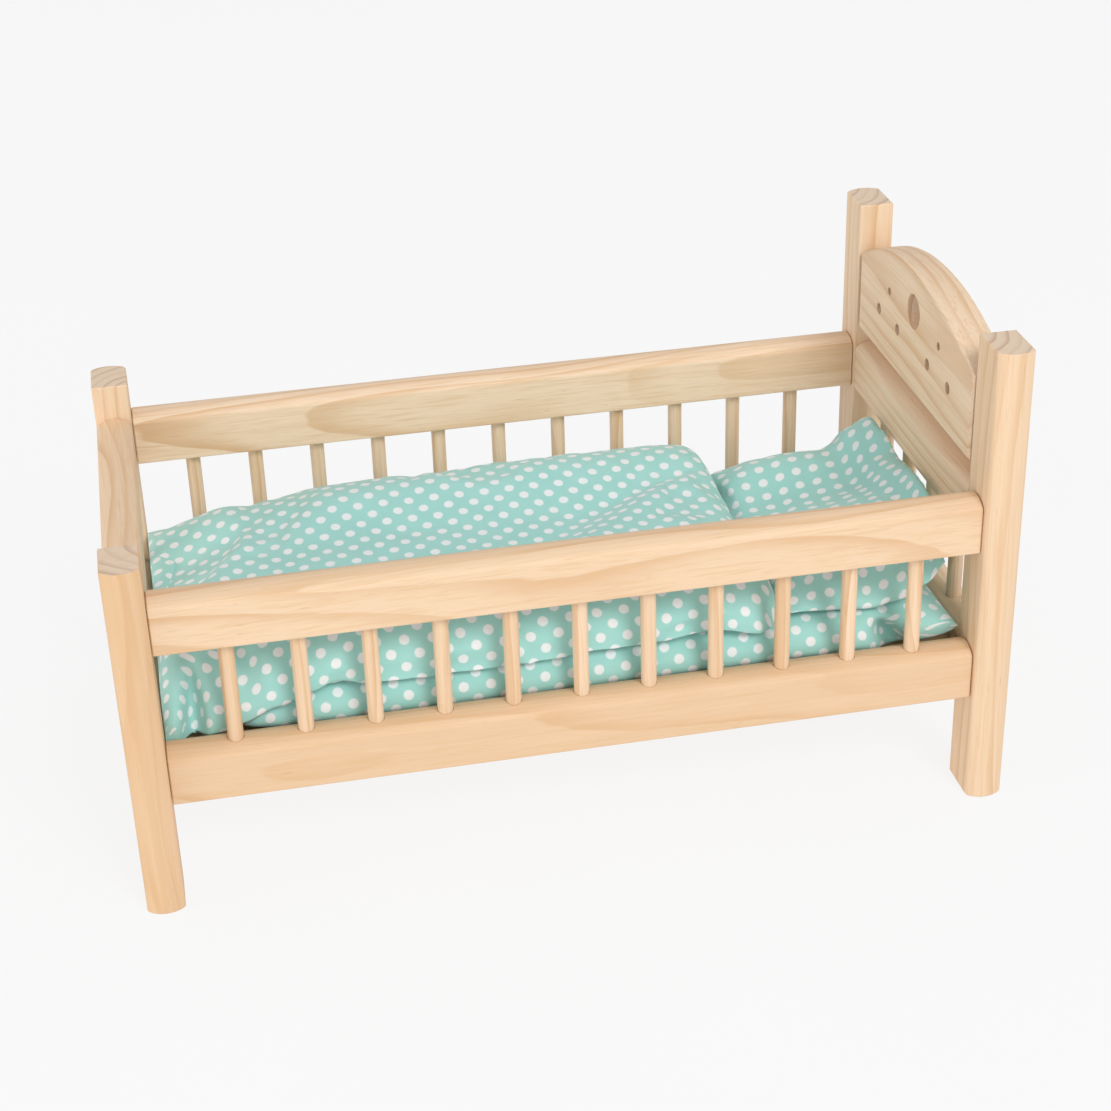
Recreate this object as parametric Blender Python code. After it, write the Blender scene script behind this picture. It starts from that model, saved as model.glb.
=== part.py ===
"""Small pine doll's bed with barred sides, an arched headboard and loose bedding.

Metres, +Z up.  X runs along the bed from the foot (-X) to the head (+X), Y across it from the
front (-Y) to the back (+Y).  The origin is on the floor, under the middle of the bed.
"""

import math

import bmesh
import bpy
from mathutils import Matrix, Vector

# ---------------------------------------------------------------- driving dimensions (metres)

LENGTH = 0.540
WIDTH = 0.290
HEAD_POST_HEIGHT = 0.307
FOOT_POST_HEIGHT = 0.234

# One pine section makes every post and rail: three flat sides and one crowned narrow edge.
STOCK_THICK = 0.023
STOCK_WIDE = 0.035
CROWN_RISE = 0.0046
CROWN_STEPS = 8
CROWN_CORNER_RADIUS = 0.0030
ARRIS_RADIUS = 0.0010
ROUND_STEPS = 2
END_EASE = 0.0007

# Clearance between pieces that touch.
GAP = 0.0003

RAIL_TOP = 0.2095
FOOT_RAIL_TOP = 0.2115
LOWER_RAIL_TOP = 0.107

SPINDLE_RADIUS = 0.0048
SPINDLE_SEAT = 0.010
SIDE_SPINDLES = 11
SIDE_SPINDLE_PITCH = 0.0416
SIDE_SPINDLE_SHIFT = 0.0024
END_SPINDLES = 4
END_SPINDLE_PITCH = 0.046

PANEL_WIDTH = 0.210
PANEL_BOTTOM = 0.222
PANEL_TOP = 0.3025
PANEL_ARCH_RADIUS = 0.230
PANEL_ARCH_STEPS = 24
PANEL_EDGE_EASE = 0.0016
# Drilled holes of the headboard: distance from its middle, height, radius.
CENTRE_HOLE = (0.0, 0.276, 0.0115)
PAIRED_HOLES = (
    (0.0460, 0.2715, 0.0027),
    (0.0285, 0.2518, 0.0040),
    (0.0650, 0.2518, 0.0040),
)

# Stub tenons that join the end rails to the posts.
TENON_THICK = 0.008
TENON_TALL = 0.022
TENON_LONG = 0.010
TENON_BELOW_TOP = 0.0095

# Dowels that hold the headboard between the head posts.
DOWEL_RADIUS = 0.004
DOWEL_LENGTH = 0.030
DOWEL_IN_POST = 0.013
DOWEL_HEIGHTS = {"low": 0.236, "high": 0.262}

# Furniture screws through the posts into the side rails.
SCREW_SHANK_RADIUS = 0.0021
SCREW_HEAD_RADIUS = 0.0040
SCREW_HEAD_THICK = 0.0030
SCREW_LENGTH = 0.050
SCREW_TIP = 0.004
SCREW_SINK = 0.0008
SOCKET_RADIUS = 0.0018
SOCKET_DEPTH = 0.0018

# Plywood base, held in a groove round the lower rails.
BOARD_THICK = 0.004
BOARD_TOP = 0.091
BOARD_TONGUE = 0.0054

MATTRESS_THICK = 0.034
MATTRESS_CLEARANCE = 0.0008
MATTRESS_ROUND = 0.012
DUVET_SPAN = (-0.2462, 0.1275)
DUVET_WIDTH = 0.222
DUVET_THICK = 0.036
PILLOW_SPAN = (0.1325, 0.243)
PILLOW_WIDTH = 0.202
PILLOW_SHIFT = -0.005
PILLOW_THICK = 0.046
CUSHION_CUTS = 9
CUSHION_EDGE = 0.45
CUSHION_TUCK = 0.10

ROUND_SIDES = 16
SMALL_ROUND_SIDES = 12
CUT_OVERRUN = 0.002
SMOOTH_ANGLE = 25

# ---------------------------------------------------------------- derived places

END_INNER = LENGTH / 2 - STOCK_THICK
END_CENTRE = LENGTH / 2 - STOCK_THICK / 2
POST_INNER = WIDTH / 2 - STOCK_WIDE
POST_SHOULDER = WIDTH / 2 - CROWN_RISE
RAIL_CENTRE = (POST_INNER + POST_SHOULDER) / 2
RAIL_INNER = RAIL_CENTRE - STOCK_THICK / 2
SPINDLE_BOTTOM = LOWER_RAIL_TOP - SPINDLE_SEAT
SPINDLE_TOP = RAIL_TOP - STOCK_WIDE + SPINDLE_SEAT
BOARD_BOTTOM = BOARD_TOP - BOARD_THICK
MATTRESS_BOTTOM = BOARD_TOP + GAP
BEDDING_BOTTOM = MATTRESS_BOTTOM + MATTRESS_THICK + GAP

ENDS = {"foot": -1, "head": 1}
SIDES = {"front": -1, "back": 1}
POST_HEIGHT = {"foot": FOOT_POST_HEIGHT, "head": HEAD_POST_HEIGHT}
END_RAIL_TOPS = {
    "foot": {"top": FOOT_RAIL_TOP, "lower": LOWER_RAIL_TOP},
    "head": {"middle": RAIL_TOP, "lower": LOWER_RAIL_TOP},
}
SIDE_RAIL_TOPS = {"top": RAIL_TOP, "lower": LOWER_RAIL_TOP}

PINE = (0.80, 0.63, 0.45)
PLYWOOD = (0.72, 0.56, 0.38)
BEECH = (0.70, 0.50, 0.33)
ZINC = (0.60, 0.60, 0.58)
MINT = (0.36, 0.66, 0.56)


# ---------------------------------------------------------------- scene helpers

def clear_scene():
    for item in list(bpy.data.objects):
        bpy.data.objects.remove(item, do_unlink=True)


def finish(piece, colour, roughness=0.6, metallic=0.0):
    """Give a piece a material of its own."""
    material = bpy.data.materials.new(piece.name + "_finish")
    material.use_nodes = True
    shader = material.node_tree.nodes["Principled BSDF"]
    shader.inputs["Base Color"].default_value = (*colour, 1.0)
    shader.inputs["Roughness"].default_value = roughness
    shader.inputs["Metallic"].default_value = metallic
    piece.material_slots[0].link = "OBJECT"
    piece.material_slots[0].material = material


def add_object(name, mesh, location=(0.0, 0.0, 0.0), parent=None):
    piece = bpy.data.objects.new(name, mesh)
    bpy.context.scene.collection.objects.link(piece)
    piece.location = location
    piece.parent = parent
    if not mesh.materials:
        mesh.materials.append(None)
    return piece


def add_empty(name, location=(0.0, 0.0, 0.0), parent=None):
    empty = bpy.data.objects.new(name, None)
    bpy.context.scene.collection.objects.link(empty)
    empty.location = location
    empty.parent = parent
    return empty


def add_cut(piece, tool_form, name):
    """Cut a closed tool shape, given in the piece's own coordinates, out of the piece."""
    cutter = add_object(name, closed_mesh(name, tool_form), parent=piece)
    cutter.hide_render = True
    cutter.display_type = "WIRE"
    modifier = piece.modifiers.new(name, "BOOLEAN")
    modifier.operation = "DIFFERENCE"
    modifier.solver = "EXACT"
    modifier.object = cutter


# ---------------------------------------------------------------- mesh helpers

def closed_mesh(name, form, smooth_angle=0):
    """Turn a closed bmesh into a mesh whose faces point outwards."""
    bmesh.ops.recalc_face_normals(form, faces=form.faces)
    mesh = bpy.data.meshes.new(name)
    form.to_mesh(mesh)
    form.free()
    if smooth_angle:
        mesh.shade_smooth()
        mesh.set_sharp_from_angle(angle=math.radians(smooth_angle))
    return mesh


def fillet(before, corner, after, radius):
    """Points of the round that takes the place of one corner of an outline."""
    corner = Vector(corner)
    back = (Vector(before) - corner).normalized()
    ahead = (Vector(after) - corner).normalized()
    half = back.angle(ahead) / 2
    centre = corner + (back + ahead).normalized() * radius / math.sin(half)
    first = corner + back * radius / math.tan(half) - centre
    last = corner + ahead * radius / math.tan(half) - centre
    turn = math.atan2(first.cross(last), first.dot(last))
    points = []
    for step in range(ROUND_STEPS + 1):
        angle = turn * step / ROUND_STEPS
        points.append(centre + Matrix.Rotation(angle, 2) @ first)
    return points


def rounded_outline(corners):
    """Outline from corners given as (a, b, radius); a radius of 0 keeps the corner sharp."""
    points = []
    for index, (a, b, radius) in enumerate(corners):
        if radius:
            before = corners[index - 1][:2]
            after = corners[(index + 1) % len(corners)][:2]
            points.extend(fillet(before, (a, b), after, radius))
        else:
            points.append(Vector((a, b)))
    return points


def crown_height(offset):
    """Height of the crown above its shoulders, at a distance from the middle of the edge."""
    half = STOCK_THICK / 2
    radius = (half ** 2 + CROWN_RISE ** 2) / (2 * CROWN_RISE)
    return math.sqrt(radius ** 2 - offset ** 2) - (radius - CROWN_RISE)


def stock_outline(inward=-1, groove=None):
    """Section of the pine stock: (a, b) with a across it and b from the flat edge to the crown.

    A groove, given as its lowest and highest b, is cut into the side that faces inwards.
    """
    half = STOCK_THICK / 2
    shoulder = STOCK_WIDE - CROWN_RISE
    depth = half - BOARD_TONGUE - GAP
    corners = [(-half, 0.0, ARRIS_RADIUS), (half, 0.0, ARRIS_RADIUS), (half, shoulder, CROWN_CORNER_RADIUS)]
    for step in range(1, CROWN_STEPS):
        offset = half - STOCK_THICK * step / CROWN_STEPS
        corners.append((offset, shoulder + crown_height(offset), 0.0))
    corners.append((-half, shoulder, CROWN_CORNER_RADIUS))
    if groove:
        low, high = groove
        corners += [(-half, high, 0.0), (-depth, high, 0.0), (-depth, low, 0.0), (-half, low, 0.0)]
    outline = rounded_outline(corners)
    return [Vector((-inward * a, b)) for a, b in outline]


def prism(name, outline, near, far, along, ease=END_EASE):
    """Extrude an outline from near to far along X, Y or Z, with its two end rims eased."""
    order = {"X": (2, 0, 1), "Y": (0, 2, 1), "Z": (0, 1, 2)}[along]
    form = bmesh.new()
    base = []
    for a, b in outline:
        local = (a, b, near)
        base.append(form.verts.new([local[index] for index in order]))
    swept = bmesh.ops.extrude_face_region(form, geom=[form.faces.new(base)])
    axis = "XYZ".index(along)
    for item in swept["geom"]:
        if isinstance(item, bmesh.types.BMVert):
            item.co[axis] = far
    if ease:
        rims = [edge for edge in form.edges if edge.verts[0].co[axis] == edge.verts[1].co[axis]]
        bmesh.ops.bevel(form, geom=rims, offset=ease, segments=1, affect="EDGES")
    return closed_mesh(name, form, SMOOTH_ANGLE)


def add_box(form, low, high):
    made = bmesh.ops.create_cube(form, size=1.0)
    for vertex in made["verts"]:
        for axis in range(3):
            vertex.co[axis] = low[axis] if vertex.co[axis] < 0 else high[axis]


def add_cylinder(form, centre, radius, depth, along, sides=ROUND_SIDES):
    made = bmesh.ops.create_cone(
        form, cap_ends=True, segments=sides, radius1=radius, radius2=radius, depth=depth)
    turn = {"X": Matrix.Rotation(math.pi / 2, 3, "Y"), "Y": Matrix.Rotation(math.pi / 2, 3, "X"),
            "Z": Matrix.Identity(3)}[along]
    bmesh.ops.rotate(form, cent=(0, 0, 0), matrix=turn, verts=made["verts"])
    bmesh.ops.translate(form, vec=centre, verts=made["verts"])


def turned(name, profile, sides):
    """Solid of revolution about Z, from (radius, z) points that start and end on the axis."""
    form = bmesh.new()
    points = [form.verts.new((radius, 0.0, z)) for radius, z in profile]
    edges = [form.edges.new(pair) for pair in zip(points, points[1:])]
    bmesh.ops.spin(
        form, geom=points + edges, cent=(0, 0, 0), axis=(0, 0, 1), angle=math.tau,
        steps=sides, use_merge=True)
    bmesh.ops.remove_doubles(form, verts=form.verts, dist=1e-6)
    return closed_mesh(name, form, SMOOTH_ANGLE)


# ---------------------------------------------------------------- posts

def screw_heights():
    """Heights of the furniture screws: the middle of each side rail."""
    return [top - STOCK_WIDE / 2 for top in SIDE_RAIL_TOPS.values()]


def post_cuts(end, side):
    """Mortises, screw holes and dowel holes of one post, about the post's foot."""
    form = bmesh.new()
    for top in END_RAIL_TOPS[end].values():
        high = top - TENON_BELOW_TOP + GAP
        low = high - TENON_TALL - 2 * GAP
        inner = side * (-CUT_OVERRUN)
        outer = side * (TENON_LONG + GAP)
        half = TENON_THICK / 2 + GAP
        add_box(form, (-half, min(inner, outer), low), (half, max(inner, outer), high))
    across = side * (RAIL_CENTRE - POST_INNER)
    face = ENDS[end] * STOCK_THICK / 2
    for height in screw_heights():
        add_cylinder(
            form, (0, across, height), SCREW_SHANK_RADIUS + GAP, STOCK_THICK + 2 * CUT_OVERRUN, "X",
            SMALL_ROUND_SIDES)
    if end == "head":
        depth = DOWEL_IN_POST + GAP
        for height in DOWEL_HEIGHTS.values():
            middle = side * (depth - CUT_OVERRUN) / 2
            add_cylinder(
                form, (0, middle, height), DOWEL_RADIUS + GAP, depth + CUT_OVERRUN, "Y")
    return form, face, across


def countersinks(face, across, end):
    """Round recesses that take the screw heads, in the outer face of a post."""
    form = bmesh.new()
    depth = SCREW_HEAD_THICK + SCREW_SINK + GAP
    outwards = ENDS[end]
    middle = face - outwards * (depth - CUT_OVERRUN) / 2
    for height in screw_heights():
        add_cylinder(
            form, (middle, across, height), SCREW_HEAD_RADIUS + GAP, depth + CUT_OVERRUN, "X",
            ROUND_SIDES)
    return form


def add_post(end, side, frame):
    outwards = SIDES[side]
    outline = [Vector((a, outwards * b)) for a, b in stock_outline()]
    name = f"{end}_post_{side}"
    mesh = prism(name, outline, 0.0, POST_HEIGHT[end], "Z")
    post = add_object(name, mesh, (ENDS[end] * END_CENTRE, outwards * POST_INNER, 0), frame)
    cuts, face, across = post_cuts(end, outwards)
    add_cut(post, cuts, name + "_joints")
    add_cut(post, countersinks(face, across, end), name + "_countersinks")
    finish(post, PINE)


# ---------------------------------------------------------------- rails

def spindle_places(count, pitch, shift=0.0):
    return [shift + pitch * (index - (count - 1) / 2) for index in range(count)]


def side_spindle_places(outwards):
    """The back rails are the front rails turned round, so their holes lie the other way off the middle."""
    return spindle_places(SIDE_SPINDLES, SIDE_SPINDLE_PITCH, -outwards * SIDE_SPINDLE_SHIFT)


def end_spindle_places():
    return spindle_places(END_SPINDLES, END_SPINDLE_PITCH)


def spindle_seats(places, level, bottom, along):
    """Blind holes that take the spindle ends: from below in an upper rail, else from above."""
    if level == "lower":
        low, high = SPINDLE_BOTTOM - GAP, LOWER_RAIL_TOP + CUT_OVERRUN
    else:
        low, high = bottom - CUT_OVERRUN, SPINDLE_TOP + GAP
    form = bmesh.new()
    for place in places:
        centre = [0, 0, (low + high) / 2 - bottom]
        centre["XY".index(along)] = place
        add_cylinder(form, centre, SPINDLE_RADIUS + GAP, high - low, "Z")
    return form


def board_groove(bottom):
    return BOARD_BOTTOM - GAP - bottom, BOARD_TOP + GAP - bottom


def add_side_rail(side, level, frame):
    outwards = SIDES[side]
    bottom = SIDE_RAIL_TOPS[level] - STOCK_WIDE
    groove = board_groove(bottom) if level == "lower" else None
    outline = stock_outline(inward=-outwards, groove=groove)
    name = f"{side}_{level}_rail"
    reach = END_INNER - GAP
    mesh = prism(name, outline, -reach, reach, "X")
    rail = add_object(name, mesh, (0, outwards * RAIL_CENTRE, bottom), frame)
    seats = spindle_seats(side_spindle_places(outwards), level, bottom, "X")
    add_cut(rail, seats, name + "_seats")
    form = bmesh.new()
    depth = SCREW_LENGTH - STOCK_THICK
    for end in ENDS.values():
        centre = (end * (END_INNER - depth / 2 + CUT_OVERRUN / 2), 0, STOCK_WIDE / 2)
        add_cylinder(
            form, centre, SCREW_SHANK_RADIUS + GAP, depth + CUT_OVERRUN, "X", SMALL_ROUND_SIDES)
    add_cut(rail, form, name + "_pilots")
    finish(rail, PINE)


def add_tenons(rail, name, reach):
    """Join a stub tenon to each end of an end rail."""
    form = bmesh.new()
    high = STOCK_WIDE - TENON_BELOW_TOP
    half = TENON_THICK / 2
    for end in (-1, 1):
        near, far = sorted((end * (reach - CUT_OVERRUN), end * (POST_INNER + TENON_LONG)))
        add_box(form, (-half, near, high - TENON_TALL), (half, far, high))
    tenons = add_object(name + "_tenons", closed_mesh(name + "_tenons", form), parent=rail)
    tenons.hide_render = True
    tenons.display_type = "WIRE"
    modifier = rail.modifiers.new("tenons", "BOOLEAN")
    modifier.operation = "UNION"
    modifier.solver = "EXACT"
    modifier.object = tenons


def add_end_rail(end, level, top, frame):
    outwards = ENDS[end]
    bottom = top - STOCK_WIDE
    groove = board_groove(bottom) if level == "lower" else None
    outline = stock_outline(inward=-outwards, groove=groove)
    name = f"{end}_{level}_rail"
    reach = POST_INNER - GAP
    rail = add_object(
        name, prism(name, outline, -reach, reach, "Y"), (outwards * END_CENTRE, 0, bottom), frame)
    add_tenons(rail, name, reach)
    add_cut(rail, spindle_seats(end_spindle_places(), level, bottom, "Y"), name + "_seats")
    finish(rail, PINE)


# ---------------------------------------------------------------- spindles, dowels and screws

def rod_mesh(name, radius, length):
    """Plain round rod standing on its origin."""
    form = bmesh.new()
    add_cylinder(form, (0, 0, length / 2), radius, length, "Z")
    return closed_mesh(name, form, SMOOTH_ANGLE)


def add_spindles(frame):
    mesh = rod_mesh("spindle", SPINDLE_RADIUS, SPINDLE_TOP - SPINDLE_BOTTOM)
    places = []
    for side, outwards in SIDES.items():
        for index, along in enumerate(side_spindle_places(outwards), start=1):
            places.append((f"{side}_spindle_{index:02d}", along, outwards * RAIL_CENTRE))
    for end, outwards in ENDS.items():
        for index, across in enumerate(end_spindle_places(), start=1):
            places.append((f"{end}_spindle_{index}", outwards * END_CENTRE, across))
    for name, x, y in places:
        spindle = add_object(name, mesh, (x, y, SPINDLE_BOTTOM), frame)
        finish(spindle, PINE)


def add_panel_dowels(frame):
    mesh = rod_mesh("dowel", DOWEL_RADIUS, DOWEL_LENGTH)
    for side, outwards in SIDES.items():
        for level, height in DOWEL_HEIGHTS.items():
            outer = outwards * (POST_INNER + DOWEL_IN_POST)
            dowel = add_object(f"headboard_dowel_{side}_{level}", mesh, (END_CENTRE, outer, height), frame)
            dowel.rotation_euler = (outwards * math.pi / 2, 0, 0)
            finish(dowel, BEECH)


def screw_mesh():
    """Countersunk furniture screw, its head at z = 0 and its point below."""
    neck = -SCREW_HEAD_THICK
    point = -SCREW_LENGTH + SCREW_SINK + GAP + SCREW_TIP / 2
    profile = [
        (0.0, -SOCKET_DEPTH), (SOCKET_RADIUS, -SOCKET_DEPTH), (SOCKET_RADIUS, 0.0),
        (SCREW_HEAD_RADIUS, 0.0), (SCREW_HEAD_RADIUS, neck * 0.4), (SCREW_SHANK_RADIUS, neck),
        (SCREW_SHANK_RADIUS, point), (0.0, point - SCREW_TIP / 2)]
    return turned("rail_screw", profile, SMALL_ROUND_SIDES)


def add_screws(frame):
    mesh = screw_mesh()
    head = LENGTH / 2 - SCREW_SINK
    for end, outwards in ENDS.items():
        for side, across in SIDES.items():
            for level, height in zip(SIDE_RAIL_TOPS, screw_heights()):
                name = f"rail_screw_{end}_{side}_{level}"
                screw = add_object(name, mesh, (outwards * head, across * RAIL_CENTRE, height), frame)
                screw.rotation_euler = (0, outwards * math.pi / 2, 0)
                finish(screw, ZINC, roughness=0.35, metallic=1.0)


# ---------------------------------------------------------------- headboard and base

def panel_outline():
    """Headboard outline in (y, z): straight sides and bottom, and one circular arc on top."""
    half = PANEL_WIDTH / 2
    centre = PANEL_TOP - PANEL_ARCH_RADIUS
    points = [Vector((-half, PANEL_BOTTOM)), Vector((half, PANEL_BOTTOM))]
    sweep = math.asin(half / PANEL_ARCH_RADIUS)
    for step in range(PANEL_ARCH_STEPS + 1):
        angle = sweep * (1 - 2 * step / PANEL_ARCH_STEPS)
        points.append(Vector((
            PANEL_ARCH_RADIUS * math.sin(angle), centre + PANEL_ARCH_RADIUS * math.cos(angle))))
    return points


def add_headboard(frame):
    half = STOCK_THICK / 2
    mesh = prism("headboard_panel", panel_outline(), -half, half, "X", PANEL_EDGE_EASE)
    panel = add_object("headboard_panel", mesh, (END_CENTRE, 0, 0), frame)
    holes = [CENTRE_HOLE]
    for across, height, radius in PAIRED_HOLES:
        holes += [(across, height, radius), (-across, height, radius)]
    form = bmesh.new()
    for across, height, radius in holes:
        add_cylinder(form, (0, across, height), radius, STOCK_THICK + 2 * CUT_OVERRUN, "X")
    add_cut(panel, form, "headboard_holes")
    form = bmesh.new()
    reach = DOWEL_LENGTH - DOWEL_IN_POST + GAP
    inner, outer = POST_INNER - reach, PANEL_WIDTH / 2 + CUT_OVERRUN
    for side in SIDES.values():
        for height in DOWEL_HEIGHTS.values():
            centre = (0, side * (inner + outer) / 2, height)
            add_cylinder(form, centre, DOWEL_RADIUS + GAP, outer - inner, "Y")
    add_cut(panel, form, "headboard_dowel_holes")
    finish(panel, PINE)


def add_base_board(frame):
    """Plywood with notched corners; its edges sit in the grooves of the lower rails."""
    long_half = END_INNER - GAP
    short_half = POST_INNER - GAP
    long_tongue = END_INNER + BOARD_TONGUE
    short_tongue = RAIL_INNER + BOARD_TONGUE
    quarter = [(long_tongue, short_half), (long_half, short_half), (long_half, short_tongue)]
    outline = [Vector(point) for point in quarter]
    outline += [Vector((-x, y)) for x, y in reversed(quarter)]
    outline += [Vector((-x, -y)) for x, y in quarter]
    outline += [Vector((x, -y)) for x, y in reversed(quarter)]
    mesh = prism("base_board", outline, 0.0, BOARD_THICK, "Z", 0.0)
    board = add_object("base_board", mesh, (0, 0, BOARD_BOTTOM), frame)
    finish(board, PLYWOOD)


# ---------------------------------------------------------------- bedding

def mattress_mesh():
    length = 2 * (END_INNER - MATTRESS_CLEARANCE)
    width = 2 * (RAIL_INNER - MATTRESS_CLEARANCE)
    form = bmesh.new()
    add_box(form, (-length / 2, -width / 2, 0), (length / 2, width / 2, MATTRESS_THICK))
    bmesh.ops.bevel(
        form, geom=form.edges[:], offset=MATTRESS_ROUND, segments=3, profile=0.5, affect="EDGES")
    return closed_mesh("mattress", form, SMOOTH_ANGLE)


def cushion_mesh(name, length, width, thick):
    """Flat-bottomed pad with a domed top and sides that draw in towards the corners."""
    form = bmesh.new()
    bmesh.ops.create_cube(form, size=2.0)
    bmesh.ops.subdivide_edges(form, edges=form.edges[:], cuts=CUSHION_CUTS, use_grid_fill=True)
    for vertex in form.verts:
        u, v, w = vertex.co
        dome = (1 - u ** 4) * (1 - v ** 4)
        height = thick * (CUSHION_EDGE + (1 - CUSHION_EDGE) * dome)
        belly = 1 - CUSHION_TUCK * w ** 2
        vertex.co = (u * belly * length / 2, v * belly * width / 2, height * (w + 1) / 2)
    return closed_mesh(name, form, SMOOTH_ANGLE)


def add_bedding(frame):
    mattress = add_object("mattress", mattress_mesh(), (0, 0, MATTRESS_BOTTOM), frame)
    above = BEDDING_BOTTOM - MATTRESS_BOTTOM
    start, end = DUVET_SPAN
    duvet = add_object(
        "duvet", cushion_mesh("duvet", end - start, DUVET_WIDTH, DUVET_THICK),
        ((start + end) / 2, 0, above), mattress)
    start, end = PILLOW_SPAN
    pillow = add_object(
        "pillow", cushion_mesh("pillow", end - start, PILLOW_WIDTH, PILLOW_THICK),
        ((start + end) / 2, PILLOW_SHIFT, above), mattress)
    for piece in (mattress, duvet, pillow):
        finish(piece, MINT, roughness=0.9)


# ---------------------------------------------------------------- the bed

def build():
    clear_scene()
    frame = add_empty("bedstead")
    for end in ENDS:
        for side in SIDES:
            add_post(end, side, frame)
    for side in SIDES:
        for level in SIDE_RAIL_TOPS:
            add_side_rail(side, level, frame)
    for end, levels in END_RAIL_TOPS.items():
        for level, top in levels.items():
            add_end_rail(end, level, top, frame)
    add_spindles(frame)
    add_headboard(frame)
    add_panel_dowels(frame)
    add_screws(frame)
    add_base_board(frame)
    add_bedding(frame)


build()
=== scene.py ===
"""Looks of the doll's bed: pine with grain and end grain, and bedding of dotted cotton.

Metres, +Z up.  +X runs from the foot end to the head end, -Y is the front.
"""

import math

import bmesh
import bpy
from mathutils import Euler, Matrix, Vector, noise
from mathutils.bvhtree import BVHTree


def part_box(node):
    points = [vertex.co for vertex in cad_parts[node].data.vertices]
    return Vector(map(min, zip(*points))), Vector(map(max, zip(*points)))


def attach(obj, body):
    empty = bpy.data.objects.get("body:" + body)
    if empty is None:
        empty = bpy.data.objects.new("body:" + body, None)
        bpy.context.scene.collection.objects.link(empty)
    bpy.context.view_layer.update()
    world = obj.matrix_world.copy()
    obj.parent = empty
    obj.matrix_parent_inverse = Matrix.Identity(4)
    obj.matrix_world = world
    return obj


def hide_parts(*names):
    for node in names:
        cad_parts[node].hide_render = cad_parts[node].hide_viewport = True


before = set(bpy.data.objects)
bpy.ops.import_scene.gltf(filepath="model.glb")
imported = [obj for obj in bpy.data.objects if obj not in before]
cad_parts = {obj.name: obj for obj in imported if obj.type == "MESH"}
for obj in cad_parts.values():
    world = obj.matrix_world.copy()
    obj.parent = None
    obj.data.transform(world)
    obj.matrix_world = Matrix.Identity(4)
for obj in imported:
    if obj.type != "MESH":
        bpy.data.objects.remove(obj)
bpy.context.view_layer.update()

# ---------------------------------------------------------------- the bed's own measures

MATTRESS_LOW, MATTRESS_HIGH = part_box("mattress")
RAIL_INNER = -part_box("front_lower_rail")[1].y
END_INNER = -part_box("foot_lower_rail")[1].x
BOARD_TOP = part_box("base_board")[1].z

# Least gaps: from the bed's inside, from the mattress below, and between a pad's two sheets.
WALL_GAP = 0.0004
REST_GAP = 0.0012
SHEET_GAP = 0.0012

# ---------------------------------------------------------------- camera

IMAGE_SIZE = 1111
FOCAL_PIXELS = 2213.8
SENSOR_MM = 36.0
CAMERA_PLACE = (-0.2133, -1.2322, 0.8270)
CAMERA_AZIMUTH = 10.357
CAMERA_ELEVATION = 29.039
CAMERA_ROLL = -1.862

# ---------------------------------------------------------------- materials: measures and colours

RING_SPACING = 0.0084
PITH_DRIFT = 0.046
RING_WAVE = 0.0032
DOT_PITCH = 0.01180
DOT_RADIUS = 0.0031
DOT_SOFTNESS = 0.045
DOT_WOBBLE = 0.0005
THREAD_SCALE = 620.0
PLY_CORE_SHARE = 0.17

EARLYWOOD = (0.845, 0.655, 0.475)
LATEWOOD = (0.62, 0.36, 0.17)
ROSY = (0.78, 0.545, 0.36)
FIBRE = (0.62, 0.42, 0.25)
RESIN = (0.42, 0.22, 0.10)
# Amber mixed into a whole board: the wood's own tone, and painted shade on front boards in full light.
WARM_AND_PAINTED_SHADE = (0.68, 0.45, 0.255)
AMBER = (0.69, 0.44, 0.23)
END_PALE = (0.74, 0.60, 0.47)
END_DARK = (0.47, 0.32, 0.22)
PLY_LIGHT = (0.74, 0.57, 0.37)
PLY_FIGURE = (0.66, 0.48, 0.29)
PLY_DARK = (0.55, 0.37, 0.21)
BEECH_DARK = (0.62, 0.41, 0.25)
BEECH_LIGHT = (0.72, 0.53, 0.36)
ZINC_DARK = (0.52, 0.53, 0.54)
ZINC_LIGHT = (0.70, 0.71, 0.72)
MINT = (0.360, 0.670, 0.625)
MINT_DEEP = (0.300, 0.612, 0.560)
MINT_PALE = (0.47, 0.74, 0.71)
DOT_WHITE = (0.80, 0.83, 0.84)
DOT_THIN = (0.65, 0.74, 0.73)


def clamp(value, low=0.0, high=1.0):
    return max(low, min(high, value))


def smooth(low, high, value):
    """0 below low, 1 above high, and a smooth step between them."""
    t = clamp((value - low) / (high - low))
    return t * t * (3 - 2 * t)


def bump(value, centre, reach):
    """1 at the centre, falling smoothly to 0 at that reach on both sides."""
    return 1 - smooth(0, reach, abs(value - centre))


# ---------------------------------------------------------------- node helpers

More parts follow.
